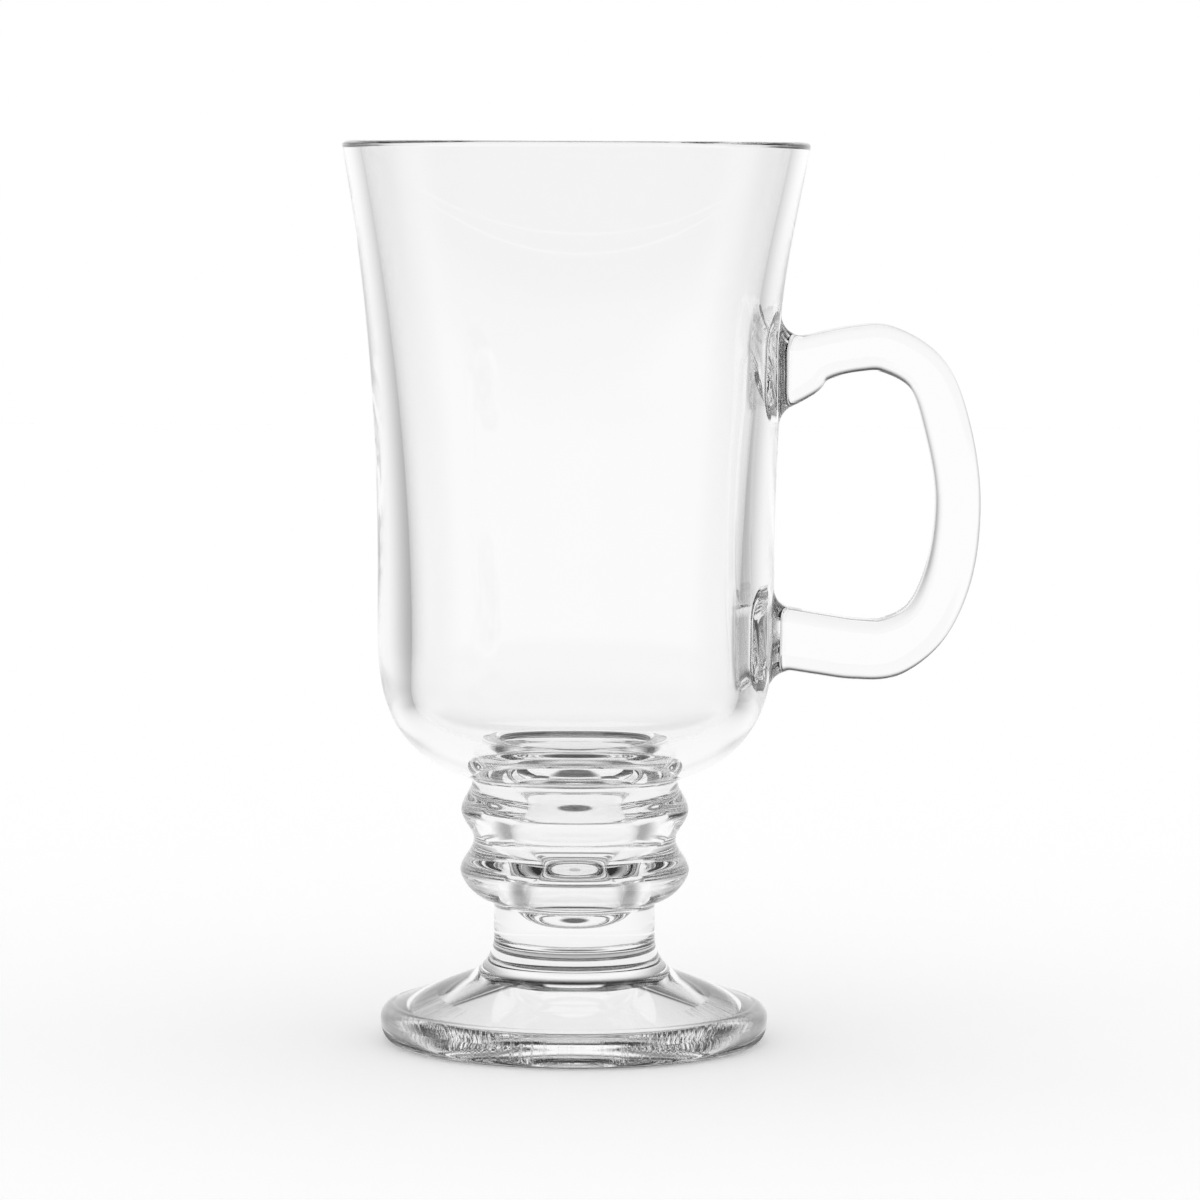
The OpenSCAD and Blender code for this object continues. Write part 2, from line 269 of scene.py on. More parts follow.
def edges_used_once(corner, kept):
    """Each edge of a closed piece belongs to two faces. Counts those that do not."""
    nxt = np.where(np.roll(kept, -1, 1), np.roll(corner, -1, 1), np.roll(corner, -2, 1))
    pair = np.sort(np.stack([corner[kept], nxt[kept]], 1), axis=1)
    _, used = np.unique(pair, axis=0, return_counts=True)
    return int((used != 2).sum())


# %% [markdown]
# ## Glass
#
# Clear pressed glass is soda-lime glass, polished in a flame. It has no colour of its
# own to speak of, a faint grey-green in thick parts, and a skin that ripples by a few
# microns where the mould and the flame left it. One glass shader does it: all light is
# passed on, bent by the index of refraction 1.52. The ripple is a bump far too shallow
# to see as relief, which only bends what is seen through it. The resting ring and the
# outer part of the dish carry fine radial notches from the mould, which keep a wet foot
# from sticking to the table. They are a few microns of bump as well, slightly uneven.


# %% Colours and the node helper
def linear(hex_colour):
    """An sRGB hex colour as linear numbers, by the sRGB curve, with alpha 1."""
    srgb = np.array([int(hex_colour[i:i + 2], 16) / 255 for i in (1, 3, 5)])
    light = np.where(srgb <= 0.04045, srgb / 12.92, ((srgb + 0.055) / 1.055) ** 2.4)
    return (*light.tolist(), 1.0)


def node(tree, kind, settings=None, **links):
    """Adds a node, sets its properties, then sets or links its inputs by name. An
    underscore stands for a space, and a digit at the end picks an input by number."""
    made = tree.nodes.new(kind)
    for key, value in (settings or {}).items():
        setattr(made, key, value)
    for key, value in links.items():
        socket = made.inputs[int(key[1:])] if key[1:].isdigit() else made.inputs[key.replace("_", " ")]
        if isinstance(value, bpy.types.NodeSocket):
            tree.links.new(value, socket)
        else:
            socket.default_value = value
    return made


def new_material(name):
    """A material with an empty node tree and its output."""
    material = bpy.data.materials.new(name)
    material.use_nodes = True
    material.node_tree.nodes.clear()
    return material, material.node_tree, material.node_tree.nodes.new("ShaderNodeOutputMaterial")


# %% The clear glass
GLASS_IOR = 1.52
RIPPLE_SIZE, RIPPLE_DEPTH = 9.0, 0.004
NOTCHES, NOTCH_DEPTH = 380, 0.004
NOTCH_CHANGE, NOTCH_DRIFT = 0.15, 14.0


def notches(tree, place):
    """Height of the radial notches, 0 to 1: the turn round the axis, counted in notches,
    folded up and down once for each. Noise along the count makes them uneven."""
    parts = node(tree, "ShaderNodeSeparateXYZ", Vector=place)
    turn = node(
        tree, "ShaderNodeMath", {"operation": "ARCTAN2"}, _0=parts.outputs["Y"], _1=parts.outputs["X"],
    )
    count = node(tree, "ShaderNodeMath", {"operation": "MULTIPLY"}, _0=turn.outputs[0], _1=NOTCHES / math.pi)
    noise = node(
        tree, "ShaderNodeTexNoise", {"noise_dimensions": "1D"}, W=count.outputs[0], Scale=NOTCH_CHANGE,
    )
    uneven = node(
        tree, "ShaderNodeMath", {"operation": "MULTIPLY_ADD"},
        _0=noise.outputs["Fac"], _1=NOTCH_DRIFT, _2=count.outputs[0],
    )
    return node(tree, "ShaderNodeMath", {"operation": "PINGPONG"}, _0=uneven.outputs[0], _1=1.0).outputs[0]


def clear_glass(name, notched=False):
    """Glass with a slow ripple: noise over real millimetres, as a shallow bump. Where it
    is notched, the notches are a second bump on top of the first."""
    material, tree, output = new_material(name)
    place = node(tree, "ShaderNodeTexCoord").outputs["Object"]
    noise = node(tree, "ShaderNodeTexNoise", Vector=place, Scale=1 / (RIPPLE_SIZE * MM), Detail=1.0)
    bump = node(
        tree, "ShaderNodeBump", Strength=1.0, Distance=RIPPLE_DEPTH * MM, Height=noise.outputs["Fac"],
    )
    if notched:
        bump = node(
            tree, "ShaderNodeBump", Strength=1.0, Distance=NOTCH_DEPTH * MM,
            Height=notches(tree, place), Normal=bump.outputs["Normal"],
        )
    glass = node(
        tree, "ShaderNodeBsdfPrincipled", Base_Color=linear("#fefefe"), Roughness=0.0,
        IOR=GLASS_IOR, Normal=bump.outputs["Normal"],
    )
    glass.inputs["Transmission Weight"].default_value = 1.0
    tree.links.new(glass.outputs[0], output.inputs["Surface"])
    return material


def fused_joint(name):
    """Where two pieces were melted together there is no surface: light goes straight on."""
    material, tree, output = new_material(name)
    through = node(tree, "ShaderNodeBsdfTransparent", Color=(1.0, 1.0, 1.0, 1.0))
    tree.links.new(through.outputs[0], output.inputs["Surface"])
    return material


GLASS = clear_glass("fire-polished soda-lime glass")
KNURL = clear_glass("soda-lime glass with pressed radial notches", notched=True)
JOINT = fused_joint("melted joint between two pieces of glass")
SKIN, MELTED, NOTCHED = 0, 1, 2
print("glass index", GLASS_IOR)

# %% [markdown]
# ## The bowl
#
# The bowl's outside needs two places where the handle's ends melt into it. The glass
# has no surface there, so the faces under each end take the see-through material.
# Those places have to fit the handle's ends exactly.

# %% The outer wall, from the joint with the stem to the lip
COLUMNS = 240
WALL_STEP = 0.6
belly_z = SHOULDER_H - BELLY_H * np.sin(np.radians(np.linspace(90, 0, SMOOTH)))
wall_z = np.concatenate([belly_z[:-1], np.linspace(SHOULDER_H, LIP_OUT[1], 2 * SMOOTH)])
fine_wall = np.stack([outer_radius(wall_z), wall_z], 1)
wall = even(fine_wall, WALL_STEP)
wall_length = np.concatenate([[0], np.cumsum(np.hypot(*np.diff(fine_wall, axis=0).T))])
wall_rows = np.interp(wall[:, 1], wall_z, wall_length)
print("outer wall:", len(wall), "rows")


def on_wall(theta, length):
    """Place and normal on the outer wall at a turn and a length up from the stem."""
    z = np.interp(length, wall_length, wall_z)
    return wall_at(theta, z)


SMALL_RISE, SMALL_TURN = 0.05, 0.005


def wall_at(theta, z):
    """Place and normal at a turn and a height. The normal is the slope of
    (distance from the axis) minus (the wall's radius there), by small differences."""
    h, a = SMALL_RISE, SMALL_TURN
    r = outer_radius(z) - draw_in(theta, z)
    above = outer_radius(z + h) - draw_in(theta, z + h)
    rise = (above - outer_radius(z - h) + draw_in(theta, z - h)) / (2 * h)
    turn = (draw_in(theta - a, z) - draw_in(theta + a, z)) / (2 * a) / r
    c, s = np.cos(theta), np.sin(theta)
    place = np.stack([r * c, r * s, z], -1)
    normal = np.stack([c + s * turn, s - c * turn, -rise], -1)
    return place, normal / np.linalg.norm(normal, axis=-1, keepdims=True)


# %% [markdown]
# ## The handle's line
#
# The handle is a strap bent in one plane. Its centre line runs through listed stations,
# each a share of the handle's reach and of the gap between its two arms, with the
# strap's depth there. A curve through the stations carries a rectangle with rounded
# edges. This repeats the CAD model's stations, with many more rings.

# %% Stations and the curve through them
HANDLE_OUT, STRAP_DEPTH, STRAP_W, STRAP_ROUND = 33.5, 7.3, 9.0, 2.2
LOWER_ARM_H, ARM_GAP = 64.8, 49.0
GRIP_R = WAIST_R + HANDLE_OUT - STRAP_DEPTH / 2
station_shares = np.array([
    [-0.22, 0.880, 1.66],
    [-0.06, 0.900, 1.60],
    [0.12, 0.937, 1.40],
    [0.24, 0.973, 1.08],
    [0.44, 1.000, 1.04],
    [0.62, 0.998, 1.05],
    [0.83, 0.915, 0.99],
    [0.94, 0.740, 1.02],
    [1.00, 0.515, 1.00],
    [0.965, 0.280, 1.04],
    [0.84, 0.098, 1.09],
    [0.64, 0.008, 1.30],
    [0.45, 0.000, 1.35],
    [0.26, 0.015, 1.36],
    [0.10, 0.030, 1.37],
    [-0.08, 0.045, 1.40],
    [-0.24, 0.055, 1.44],
])
stations = np.stack([
    WAIST_R + (GRIP_R - WAIST_R) * station_shares[:, 0],
    LOWER_ARM_H + ARM_GAP * station_shares[:, 1],
    STRAP_DEPTH * station_shares[:, 2],
], 1)
SPANS = len(stations) - 3


def centre_line(u):
    """A Catmull-Rom curve: between two stations it is a cubic that also looks at the
    one before and the one after. `u` counts spans. Returns the place and the heading."""
    i = np.clip(np.floor(u).astype(int), 0, SPANS - 1)
    t = (u - i)[..., None]
    a, b, c, d = (stations[i + n] for n in range(4))
    first, second, third = c - a, 2 * a - 5 * b + 4 * c - d, 3 * b - a - 3 * c + d
    place = (2 * b + first * t + second * t ** 2 + third * t ** 3) / 2
    way = (first + 2 * second * t + 3 * third * t ** 2) / 2
    return place, way


# %% The strap's section and its rails
AROUND = 144
# Where along those points the section's straight sides and round corners change over
breaks = np.array([0, 8, 20, 52, 64, 80, 92, 124, 136, 144])
k = np.arange(AROUND)
side_n = np.interp(k, breaks, [1, 1, 1, -1, -1, -1, -1, 1, 1, 1])
side_y = np.interp(k, breaks, [0, 1, 1, 1, 1, -1, -1, -1, -1, 0])
angle = np.radians(np.interp(k, breaks, [0, 0, 90, 90, 180, 180, 270, 270, 360, 360]))


def strap(index, u):
    """A point of the strap: centre line, plus the section's share along the in-plane
    normal, plus its share across. Also returns which way the section faces there."""
    place, way = centre_line(u)
    heading = way[..., :2] / np.linalg.norm(way[..., :2], axis=-1, keepdims=True)
    n = side_n[index] * (place[..., 2] / 2 - STRAP_ROUND) + STRAP_ROUND * np.cos(angle[index])
    y = side_y[index] * (STRAP_W / 2 - STRAP_ROUND) + STRAP_ROUND * np.sin(angle[index]) + 0 * n
    point = np.stack([place[..., 0] - heading[..., 1] * n, y, place[..., 1] + heading[..., 0] * n], -1)
    c, s = np.cos(angle[index]), np.sin(angle[index]) + 0 * n
    facing = np.stack([-heading[..., 1] * c, s, heading[..., 0] * c], -1)
    return point, facing


print("strap:", AROUND, "points round,", SPANS, "spans")

# %% [markdown]
# ## The welds
#
# A hot strap pressed on a hot wall wets it: the glass runs out into a hollow curve all
# round. Each line along the strap is followed to where it meets the wall. There a
# circular arc is put in that leaves the strap and lands on the wall without a kink.
# With the angle between strap and wall, its two ends lie one tangent length away,
# radius divided by the tangent of half that angle.

# %% Fillets between the strap's lines and the wall
WELD_SIDE_ROUND, WELD_EDGE_ROUND = 2.8, 3.5
FILLET_ROWS = 14
SEARCH_POINTS, SEARCH_SPANS, SMALL_STEP = 600, 2.5, 0.02


def dot(a, b):
    """The dot product along the last axis, kept as a column."""
    return (a * b).sum(-1, keepdims=True)


def unit(a):
    """Each vector over its own length."""
    return a / np.linalg.norm(a, axis=-1, keepdims=True)


def wall_gap(point):
    """Distance from the axis less the wall's radius there: below zero inside the glass."""
    theta = np.arctan2(point[..., 1], point[..., 0])
    z = point[..., 2]
    return np.hypot(point[..., 0], point[..., 1]) - outer_radius(z) + draw_in(theta, z)


def weld(first, last):
    """Rows of points from the strap to the wall at one end. `first` lies inside the
    wall and `last` on the free strap. Also returns where each line leaves the strap."""
    us = np.linspace(first, last, SEARCH_POINTS)
    rails, facing = strap(k[:, None], us[None])
    outside = wall_gap(rails) > 0
    hit = np.argmax(outside, axis=1)
    g0, g1 = wall_gap(rails[k, hit - 1]), wall_gap(rails[k, hit])
    u_hit = us[hit - 1] + (us[1] - us[0]) * (-g0 / (g1 - g0))
    corner, face = strap(k, u_hit)
    back = unit(strap(k, u_hit + SMALL_STEP * np.sign(last - first))[0] - corner)
    face = unit(face - dot(face, back) * back)
    _, wall_normal = wall_at(np.arctan2(corner[:, 1], corner[:, 0]), corner[:, 2])
    along = unit(face - dot(face, wall_normal) / dot(back, wall_normal) * back)
    half = np.arccos(np.clip(dot(back, along), -1, 1)) / 2
    radius = WELD_EDGE_ROUND + (WELD_SIDE_ROUND - WELD_EDGE_ROUND) * np.abs(np.sin(angle))[:, None]
    tangent = radius / np.tan(half)
    run = np.cumsum(np.linalg.norm(np.diff(rails, axis=1), axis=2), axis=1)
    run = np.concatenate([0 * run[:, :1], run], 1)
    length_to_hit = run[k, hit - 1] + (run[k, hit] - run[k, hit - 1]) * (-g0 / (g1 - g0))
    beyond = np.argmax(run > length_to_hit[:, None] + tangent, axis=1)
    share = (length_to_hit + tangent[:, 0] - run[k, beyond - 1]) / (run[k, beyond] - run[k, beyond - 1])
    u_leave = us[beyond - 1] + (us[1] - us[0]) * share
    leave, _ = strap(k, u_leave)
    land = corner + along * tangent
    land, _ = wall_at(np.arctan2(land[:, 1], land[:, 0]), land[:, 2])
    t = np.linspace(0, 1, FILLET_ROWS + 1)[None, :, None]
    w = np.sin(half)[:, None]
    curve = ((1 - t) ** 2 * leave[:, None] + 2 * t * (1 - t) * w * corner[:, None] + t ** 2 * land[:, None])
    curve /= (1 - t) ** 2 + 2 * t * (1 - t) * w + t ** 2
    return curve, u_leave, land


upper_curve, upper_leave, upper_land = weld(0.0, SEARCH_SPANS)
lower_curve, lower_leave, lower_land = weld(float(SPANS), SPANS - SEARCH_SPANS)
print("upper weld spans heights", upper_land[:, 2].min().round(1), upper_land[:, 2].max().round(1))
print("lower weld spans heights", lower_land[:, 2].min().round(1), lower_land[:, 2].max().round(1))

# %% [markdown]
# ## Windows in the bowl for the welds
#
# Each weld's place is cut from the turned grid as a window, and filled with rings that
# run from the window's edge to the weld's edge and then to a point in the middle. The
# outer rings are polished skin. The inner ones lie inside melted glass and let light
# pass, as they do on the handle's own ends.


# %% Rings from a window's edge to a weld's edge
HALF_COLUMNS = 14
WINDOW_ROWS = 44
RINGS_OUT, RINGS_IN = 10, 5


def window_rows(land):
    """The rows of the wall's grid that hold the weld in their middle."""
    middle = (land[:, 2].min() + land[:, 2].max()) / 2
    low = int(np.argmin(np.abs(wall[:, 1] - middle))) - WINDOW_ROWS // 2
    return low, low + WINDOW_ROWS


def window_edge(low, high, from_top):
    """Column and row of each point of the window's edge, in the same order as the
    section's points: first the half side, then down or up, across, and back."""
    c, n = HALF_COLUMNS, WINDOW_ROWS
    column = np.interp(k, [0, c, c + n, 3 * c + n, 3 * c + 2 * n, AROUND], [0, c, c, -c, -c, 0])
    near, far = (high, low) if from_top else (low, high)
    row = np.interp(k, [0, c, c + n, 3 * c + n, 3 * c + 2 * n], [near, near, far, far, near])
    return np.round(column).astype(int), np.round(row).astype(int)


def rings(land, low, high, from_top):
    """Two grids on the wall: from the window's edge to the weld, and on to its middle."""
    column, row = window_edge(low, high, from_top)
    edge = np.stack([column * 2 * math.pi / COLUMNS, wall_rows[row]], 1)
    inner = np.stack([np.arctan2(land[:, 1], land[:, 0]), np.interp(land[:, 2], wall_z, wall_length)], 1)
    middle = np.array([0.0, inner[:, 1].mean()])
    t = np.linspace(0, 1, RINGS_OUT + 1)[:, None, None]
    outer = edge[None] * (1 - t) + inner[None] * t
    t = np.linspace(0, 1, RINGS_IN + 1)[:, None, None]
    core = inner[None] * (1 - t) + middle * t
    return [on_wall(g[..., 0], g[..., 1]) for g in (outer, core)]


upper_rows, lower_rows = window_rows(upper_land), window_rows(lower_land)
upper_rings = rings(upper_land, *upper_rows, True)
lower_rings = rings(lower_land, *lower_rows, False)
print("window heights:", wall[list(upper_rows), 1].round(1), wall[list(lower_rows), 1].round(1))

# %% The bowl in one piece
LIP_STEP, INSIDE_STEP, BOTTOM_STEP, EDGE_STEP = 0.1, 1.0, 0.5, 0.2
hole = np.zeros((len(wall) - 1, COLUMNS), bool)
window_columns = np.arange(-HALF_COLUMNS, HALF_COLUMNS) % COLUMNS
for low, high in (upper_rows, lower_rows):
    hole[np.ix_(np.arange(low, high), window_columns)] = True

theta = np.linspace(0, 2 * math.pi, COLUMNS, endpoint=False)
turns, lengths = np.meshgrid(theta, wall_rows)
wall_place, wall_normal = on_wall(turns, lengths)
lip = arc(*LIP_C, LIP_R, LIP_H, 0, 180, SMOOTH)
lip[:, 0] += (lip[:, 1] - LIP_C[1]) / LIP_H * LIP_SHIFT
lip = even(lip, LIP_STEP)
inside_z = np.linspace(LIP_IN[1], HOLLOW_TURN_H, SMOOTH)
inside = even(np.stack([inner_radius(inside_z), inside_z], 1), INSIDE_STEP)
floor_end = math.acos((WELL_EDGE_R / HOLLOW_R) ** (FLOOR_POWER / 2))
a = np.linspace(0, floor_end, SMOOTH)
floor = even(np.stack([
    HOLLOW_R * np.cos(a) ** (2 / FLOOR_POWER), HOLLOW_TURN_H - FLOOR_B * np.sin(a) ** (2 / FLOOR_POWER)
], 1), BOTTOM_STEP)
well_lip = even(arc(WELL_EDGE_R, WELL_TOP_H, -WELL_LIP_ROUND, WELL_LIP_ROUND, 90, 0), EDGE_STEP)
well_wall = np.array([[WELL_MOUTH_R, WELL_TOP_H], [WELL_NECK_R, NECK_H]])
joint_ring = np.array([[WELL_NECK_R, NECK_H], [NECK_R, NECK_H]])


def patch_sheets(pair, flip):
    """Both ring grids of a weld on the bowl. One of the two windows runs the other way
    round, so its rows are turned to keep the faces pointing outwards."""
    (outer, outer_n), (core, core_n) = pair
    if flip:
        outer, outer_n, core, core_n = (g[::-1] for g in (outer, outer_n, core, core_n))
    return [sheet(outer, outer_n, SKIN), sheet(core, core_n, MELTED)]


bowl_sheets = [sheet(wall_place, wall_normal, SKIN, hole=hole)]
bowl_sheets += [sheet(*turned(run, COLUMNS, draw_in), SKIN) for run in (lip, inside)]
bowl_sheets += [sheet(*turned(run, COLUMNS), SKIN) for run in (floor, well_lip, well_wall)]
bowl_sheets += [sheet(*turned(joint_ring, COLUMNS), MELTED)]
bowl_sheets += patch_sheets(upper_rings, True) + patch_sheets(lower_rings, False)
bowl = sew("glass_bowl", bowl_sheets, [GLASS, JOINT])

# %% [markdown]
# ## The handle
#
# The strap's rows run from one weld to the other. Each of its lines starts and ends
# where its own fillets begin, so the rows spread evenly between those two places.

# %% The strap from weld to weld
STRAP_ROWS = 200
t = np.linspace(0, 1, STRAP_ROWS + 1)
u_all = upper_leave[:, None] * (1 - t) + lower_leave[:, None] * t
strap_place, _ = strap(k[:, None], u_all)
rows = np.concatenate([upper_curve[:, ::-1][:, :-1], strap_place, lower_curve[:, 1:]], 1)
rows = np.swapaxes(rows, 0, 1)
across = np.roll(rows, -1, 1) - np.roll(rows, 1, 1)
along = np.gradient(rows, axis=0)
strap_normal = unit(np.cross(along, across))
centre = rows.mean(1, keepdims=True)
print("normals outward:", bool((dot(strap_normal, rows - centre) > 0).mean() > 0.9))
handle_sheets = [sheet(rows[::-1], strap_normal[::-1], SKIN)]
(_, (cap, cap_n)), (_, (end, end_n)) = upper_rings, lower_rings
handle_sheets += [sheet(cap, -cap_n, MELTED), sheet(end[::-1], -end_n[::-1], MELTED)]
handle = sew("glass_handle", handle_sheets, [GLASS, JOINT])

# %% [markdown]
# ## The stem and the foot
#
# The stem is one solid pressed shape: two knops with a groove between them, so that a
# warm glass is easy to hold, and a plain shank. The well of the hollow ends inside it.
# The shank spreads into the foot by one round curve, and the two are melted together
# part of the way down it. The foot is a cone with a rolled edge. Its underside is dished, so
# that it stands on a narrow ring, where the notches are.

# %% The stem: joint, shank, knops, joint, well
STEM_STEP, WELL_STEP = 0.25, 0.4
knop_under_r = SHANK_R + SHANK_ROUND
spread_cx = SHANK_R + SPREAD_ROUND
seam_angle = 180 + math.degrees(math.asin((SPREAD_H - SEAM_H) / SPREAD_ROUND))
SEAM_R = spread_cx + SPREAD_ROUND * math.cos(math.radians(seam_angle))
stem_out = [
    arc(spread_cx, SPREAD_H, SPREAD_ROUND, SPREAD_ROUND, seam_angle, 180),
    np.array([[SHANK_R, SPREAD_H], [SHANK_R, KNOP_UNDER_H - SHANK_ROUND]]),
    arc(knop_under_r, KNOP_UNDER_H - SHANK_ROUND, -SHANK_ROUND, SHANK_ROUND, 0, 90),
    super_arc(
        knop_under_r, LOWER_KNOP_H, LOWER_KNOP_R - knop_under_r, KNOP_UNDER_H - LOWER_KNOP_H,
        KNOP_UNDER_POWER, 90, 0,
    ),
    swell(LOWER_KNOP_R, LOWER_KNOP_H, GROOVE_R, GROOVE_H),
    swell(GROOVE_R, GROOVE_H, UPPER_KNOP_R, UPPER_KNOP_H),
    swell(UPPER_KNOP_R, UPPER_KNOP_H, NECK_R, NECK_H),
]
well_in = [
    np.array([[WELL_NECK_R, NECK_H], [WELL_END_R, WELL_END_H]]),
    arc(WELL_END_R - WELL_ROUND, WELL_END_H, WELL_ROUND, -WELL_ROUND, 0, 90),
    np.array([[WELL_END_R - WELL_ROUND, WELL_FLOOR_H], [0.0, WELL_FLOOR_H]]),
]
stem_sheets = [sheet(*turned(np.array([[0.0, SEAM_H], [SEAM_R, SEAM_H]]), COLUMNS), MELTED)]
stem_sheets += [sheet(*turned(even(run, STEM_STEP), COLUMNS), SKIN) for run in stem_out]
stem_sheets += [sheet(*turned(np.array([[NECK_R, NECK_H], [WELL_NECK_R, NECK_H]]), COLUMNS), MELTED)]
stem_sheets += [sheet(*turned(even(run, WELL_STEP), COLUMNS), SKIN) for run in well_in]
stem = sew("glass_stem", stem_sheets, [GLASS, JOINT])

# %% The foot: dish, resting ring, rolled edge, cone, joint
FOOT_STEP = 0.4
NOTCH_FROM_R = 20.6
roll_r = FOOT_R - ROLL_W
to_spread = (roll_r - spread_cx, SPREAD_H - ROLL_H)
to_centre = math.atan2(to_spread[1], to_spread[0])
cone_angle = math.degrees(to_centre - math.asin(SPREAD_ROUND / math.hypot(*to_spread)))
ring_out = FOOT_R - UNDER_ROLL_W
ring_in = ring_out - REST_RING_W
notch_h = DISH_H * (ring_in - NOTCH_FROM_R) / (ring_in - DISH_FLAT_R)
spread = arc(spread_cx, SPREAD_H, SPREAD_ROUND, SPREAD_ROUND, 270 - cone_angle, seam_angle)
print("foot's cone leans", round(cone_angle, 1), "degrees and meets the stem at radius", round(SEAM_R, 2))
foot_out = [
    np.array([[0.0, DISH_H], [DISH_FLAT_R, DISH_H]]),
    np.array([[DISH_FLAT_R, DISH_H], [NOTCH_FROM_R, notch_h]]),
    np.array([[NOTCH_FROM_R, notch_h], [ring_in, 0.0]]),
    np.array([[ring_in, 0.0], [ring_out, 0.0]]),
    arc(ring_out, EDGE_H, UNDER_ROLL_W, -EDGE_H, 90, 0),
    arc(roll_r, EDGE_H, ROLL_W, ROLL_H - EDGE_H, 0, 90),
    np.stack([[roll_r, ROLL_H], spread[0]]),
    spread,
]
finish = [SKIN, SKIN, NOTCHED, NOTCHED, SKIN, SKIN, SKIN, SKIN]
foot_sheets = [sheet(*turned(even(run, FOOT_STEP), COLUMNS), slot) for run, slot in zip(foot_out, finish)]
foot_sheets += [sheet(*turned(np.array([[SEAM_R, SEAM_H], [0.0, SEAM_H]]), COLUMNS), MELTED)]
foot = sew("glass_foot", foot_sheets, [GLASS, JOINT, KNURL])

# %% Each piece stands for its CAD node
for piece, name in ((bowl, "bowl"), (handle, "handle"), (stem, "stem"), (foot, "foot")):
    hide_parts(name)
    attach(piece, "root")

# %% [markdown]
# ## Light, floor and camera
#
# Glass shows only what stands round it. Clear glass is photographed in a bright field: a
# bright panel behind it, a grey card beside the panel on each side, low pale walls beyond
# the cards, a dark room above them, a softbox above and behind, and a pale table. The
# panel's light falls off towards the cards on the horizon, and the far table is painted
# with the same falloff as painted light; that draws the grey edges of the glass. A narrow
# band of painted shadow lies where the foot stands. The table is painted bright where it
# is looked at flatly and dim where it is looked at steeply, a painted reflection of the
# panel in place of gloss. Each of these is one rule with a few values. All of it is seen
# only through glass or mirrored in it. For the camera and for plain surfaces the room and
# the table are white.

# %% The studio's values, in degrees, millimetres and shares of white
PANEL_FULL, CARD_FULL = 20, 60
CARD_END, WALL_FULL = 66, 86
CARD_GREY, WALL_GREY = 0.40, 0.85
WALL_TOP_FROM, WALL_TOP_TO = 3, 9
PANEL_TOP_FROM, PANEL_TOP_TO = 14, 34
ROOM_FROM, ROOM_TO = 60, 100
ROOM_GREY = 0.03
SOFTBOX_LOW, SOFTBOX_HIGH, SOFTBOX_HALF = 45, 65, 20
SOFTBOX_EDGE = 3
TABLE_GREY = 0.95
# Painted shadow: the grey of the band round the foot's resting ring, in the table as glass sees it.
SHADE_GREY = 0.05
SHADE_FROM, SHADE_TO = 2.0, 8.0
FAR_FROM, FAR_TO = 60, 400
# Painted reflection: the table as glass sees it turns to STEEP_GREY where it is looked at steeply.
STEEP_FROM, STEEP_TO = 0.03, 0.12
STEEP_GREY = 0.12
WHITE = linear("#ffffff")


def fade(tree, value, low, high, below, above):
    """From one brightness to another, eased, as the value passes from low to high."""
    share = node(
        tree, "ShaderNodeMapRange", {"interpolation_type": "SMOOTHSTEP"},
        Value=value, From_Min=low, From_Max=high,
    )
    mixed = node(tree, "ShaderNodeMix", {"data_type": "RGBA"}, _0=share.outputs[0], _6=below, _7=above)
    return mixed.outputs[2]


def grey(level):
    """A shade of grey as a linear colour, from its share of white."""
    return (level, level, level, 1)


def sideways(tree, compass):
    """Brightness level with the glass, by degrees round from straight behind: white up
    to PANEL_FULL, eased down to the grey card at CARD_FULL, and from CARD_END eased up to
    the pale wall at WALL_FULL."""
    card = fade(tree, compass, PANEL_FULL, CARD_FULL, WHITE, grey(CARD_GREY))
    return fade(tree, compass, CARD_END, WALL_FULL, card, grey(WALL_GREY))


def from_behind(tree, way):
    """Degrees round from straight behind the glass: the arc tangent of x over y, unsigned.
    Returns the degrees, with x, y and z of the place or direction."""
    parts = node(tree, "ShaderNodeSeparateXYZ", Vector=way)
    turn = node(
        tree, "ShaderNodeMath", {"operation": "ARCTAN2"}, _0=parts.outputs["X"], _1=parts.outputs["Y"],
    )
    turn = node(tree, "ShaderNodeMath", {"operation": "ABSOLUTE"}, _0=turn.outputs[0])
    return node(tree, "ShaderNodeMath", {"operation": "DEGREES"}, _0=turn.outputs[0]).outputs[0], parts


def seen_in_glass(tree):
    """1 for a ray that passed or mirrored in glass on its way from the camera, else 0.
    The second result leaves out that no plain surface may lie on the way."""
    path = node(tree, "ShaderNodeLightPath")
    glass = node(
        tree, "ShaderNodeMath", {"operation": "MAXIMUM"},
        _0=path.outputs["Is Transmission Ray"], _1=path.outputs["Is Glossy Ray"],
    )
    straight = node(
        tree, "ShaderNodeMath", {"operation": "LESS_THAN"}, _0=path.outputs["Diffuse Depth"], _1=0.5,
    )
    both = node(
        tree, "ShaderNodeMath", {"operation": "MULTIPLY"}, _0=glass.outputs[0], _1=straight.outputs[0],
    )
    return both.outputs[0], glass.outputs[0]


# %% The pale floor
FLOOR_SIZE = 4.0
FLOOR_GAP = 0.0001
half, low = FLOOR_SIZE / 2, -FLOOR_GAP
floor_mesh = bpy.data.meshes.new("floor")
floor_mesh.from_pydata(
    [(-half, -half, low), (half, -half, low), (half, half, low), (-half, half, low)],
    [], [(0, 1, 2, 3)],
)
floor_object = bpy.data.objects.new("floor", floor_mesh)
bpy.context.scene.collection.objects.link(floor_object)
# For camera rays and diffuse bounces the floor is white matt paper with its real shadow. For rays that
# passed or mirrored in glass it is an emission instead: painted light and shade, or plain white once the
# path has had a diffuse bounce.
paper_and_painted_light, tree, output = new_material("white floor with painted light and shade seen in glass")
place = node(tree, "ShaderNodeTexCoord").outputs["Object"]
compass = from_behind(tree, place)[0]
reach = node(tree, "ShaderNodeVectorMath", {"operation": "LENGTH"}, _0=place).outputs["Value"]
reach = node(tree, "ShaderNodeMath", {"operation": "DIVIDE"}, _0=reach, _1=MM).outputs[0]
